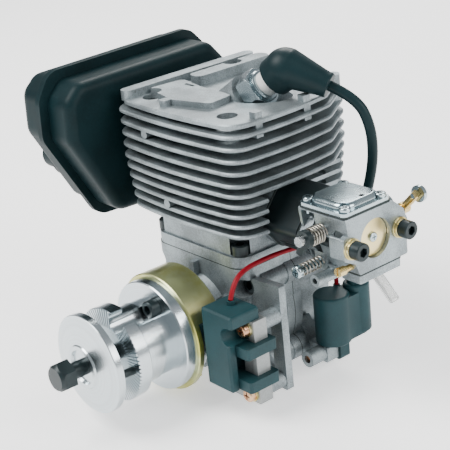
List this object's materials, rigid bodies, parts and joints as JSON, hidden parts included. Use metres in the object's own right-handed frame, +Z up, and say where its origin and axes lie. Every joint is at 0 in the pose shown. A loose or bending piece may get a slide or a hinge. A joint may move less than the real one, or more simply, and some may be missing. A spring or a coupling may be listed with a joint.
{
  "type": "model aircraft petrol engine",
  "caption": "Single-cylinder air-cooled two-stroke model aircraft engine with diaphragm carburettor, magneto ignition, silencer and propeller hub",
  "frame": {"origin": "crank axis at the rear mounting face", "axes": "+Z up along the cylinder, propeller at -Y, carburettor at +X, silencer at -X"},
  "size_m": [0.2058, 0.17, 0.164],
  "materials": {
    "cast_alloy": "as cast, bead blasted",
    "machined_alloy": "turned",
    "bright_steel": "ground",
    "black_steel": "black oxide",
    "zinc_yellow": "yellow chromate over zinc",
    "zinc_clear": "bright zinc",
    "black_paint": "satin black",
    "potting": "matt",
    "phenolic": "matt",
    "rubber": "soft",
    "red_sleeve": "gloss",
    "lamination": "rolled sheet",
    "copper_wire": "enamelled",
    "brass": "bright",
    "gasket": "fibre",
    "clear_tube": "clear",
    "ceramic": "glazed"
  },
  "bodies": {
    "engine": {"crankcase_front": "cast_alloy", "crankcase_rear": "cast_alloy", "crankcase_gaskets": "gasket", "crankcase_bolts": "black_steel", "main_bearings": "bright_steel", "front_seal": "rubber", "cylinder": "cast_alloy", "cylinder_bolts": "black_steel", "spark_plug": "zinc_clear", "plug_cap": "rubber", "ignition_lead": "rubber", "signal_wire": "red_sleeve", "ignition_coil": "potting", "ignition_screws": "copper_wire", "magneto_box": "potting", "magneto_core": "lamination", "magneto_coil": "potting", "magneto_washers": "zinc_yellow", "intake_gaskets": "gasket", "intake_insulator": "phenolic", "carburettor_body": "cast_alloy", "carburettor_gaskets": "gasket", "pump_cover": "zinc_clear", "metering_cover": "cast_alloy", "cover_screws": "zinc_clear", "primer_stub": "clear_tube", "carb_bolts": "black_steel", "throttle_spring": "bright_steel", "idle_spring": "bright_steel", "muffler_inner": "black_paint", "muffler_outer": "black_paint", "exhaust_gasket": "gasket", "muffler_bolts": "black_steel"},
    "crank": {"crankshaft": "bright_steel", "shaft_key": "bright_steel", "flywheel_cup": "zinc_yellow", "flywheel_hub": "zinc_yellow", "flywheel_magnets": "black_steel", "prop_driver": "machined_alloy", "hub_bolts": "black_steel", "drive_pin": "black_steel", "prop_washer": "machined_alloy", "prop_bolt": "bright_steel"},
    "idler": {"crank_pin": "bright_steel", "big_end_bearing": "bright_steel"},
    "piston_group": {"piston": "machined_alloy", "piston_rings": "bright_steel", "wrist_pin": "bright_steel", "connecting_rod": "bright_steel", "small_end_bearing": "bright_steel"},
    "throttle": {"throttle_shaft": "bright_steel", "throttle_plate": "brass", "throttle_lever": "bright_steel", "throttle_collar": "black_steel"},
    "swivel": {"linkage_swivel": "brass"},
    "choke": {"choke_shaft": "bright_steel", "choke_plate": "brass"},
    "choke_arm": {"choke_lever": "brass"},
    "idle_adjuster": {"idle_screw": "zinc_clear"},
    "mixture_adjuster": {"mixture_needle": "brass"}
  },
  "joints": [
    {"name": "crank_spin", "type": "hinge", "parent": "engine", "child": "crank", "pos_m": [0, -0.036, 0], "axis": [0, 1, 0], "continuous": true},
    {"name": "rod_idler", "type": "hinge", "parent": "crank", "child": "idler", "pos_m": [0, -0.036, 0.00775], "axis": [0, 1, 0], "continuous": true},
    {"name": "piston_travel", "type": "hinge", "parent": "idler", "child": "piston_group", "pos_m": [0, -0.036, 0.0155], "axis": [0, 1, 0], "continuous": true},
    {"name": "throttle_turn", "type": "hinge", "parent": "engine", "child": "throttle", "pos_m": [0.077, -0.036, 0.0582], "axis": [0, 1, 0], "range_deg": [0, 75]},
    {"name": "swivel_turn", "type": "hinge", "parent": "throttle", "child": "swivel", "pos_m": [0.078, -0.01, 0.0482], "axis": [0, 1, 0], "range_deg": [-60, 60]},
    {"name": "choke_lever_turn", "type": "hinge", "parent": "engine", "child": "choke_arm", "pos_m": [0.0885, -0.016, 0.0593], "axis": [0, -1, 0], "range_deg": [0, 75]},
    {"name": "choke_plate_turn", "type": "hinge", "parent": "engine", "child": "choke", "pos_m": [0.089, -0.036, 0.053], "axis": [0, -1, 0], "range_deg": [0, 75]},
    {"name": "idle_screw_turn", "type": "hinge", "parent": "engine", "child": "idle_adjuster", "pos_m": [0.07, -0.056, 0.0405], "axis": [0, -1, 0], "range_deg": [-180, 180]},
    {"name": "mixture_needle_turn", "type": "hinge", "parent": "engine", "child": "mixture_adjuster", "pos_m": [0.0885, -0.053, 0.0425], "axis": [0, -1, 0], "range_deg": [-180, 180]}
  ],
  "couplings": [
    {"joint": "rod_idler", "follows": "crank_spin", "ratio": -2},
    {"joint": "piston_travel", "follows": "crank_spin", "ratio": 1},
    {"joint": "choke_plate_turn", "follows": "choke_lever_turn", "ratio": 1}
  ]
}
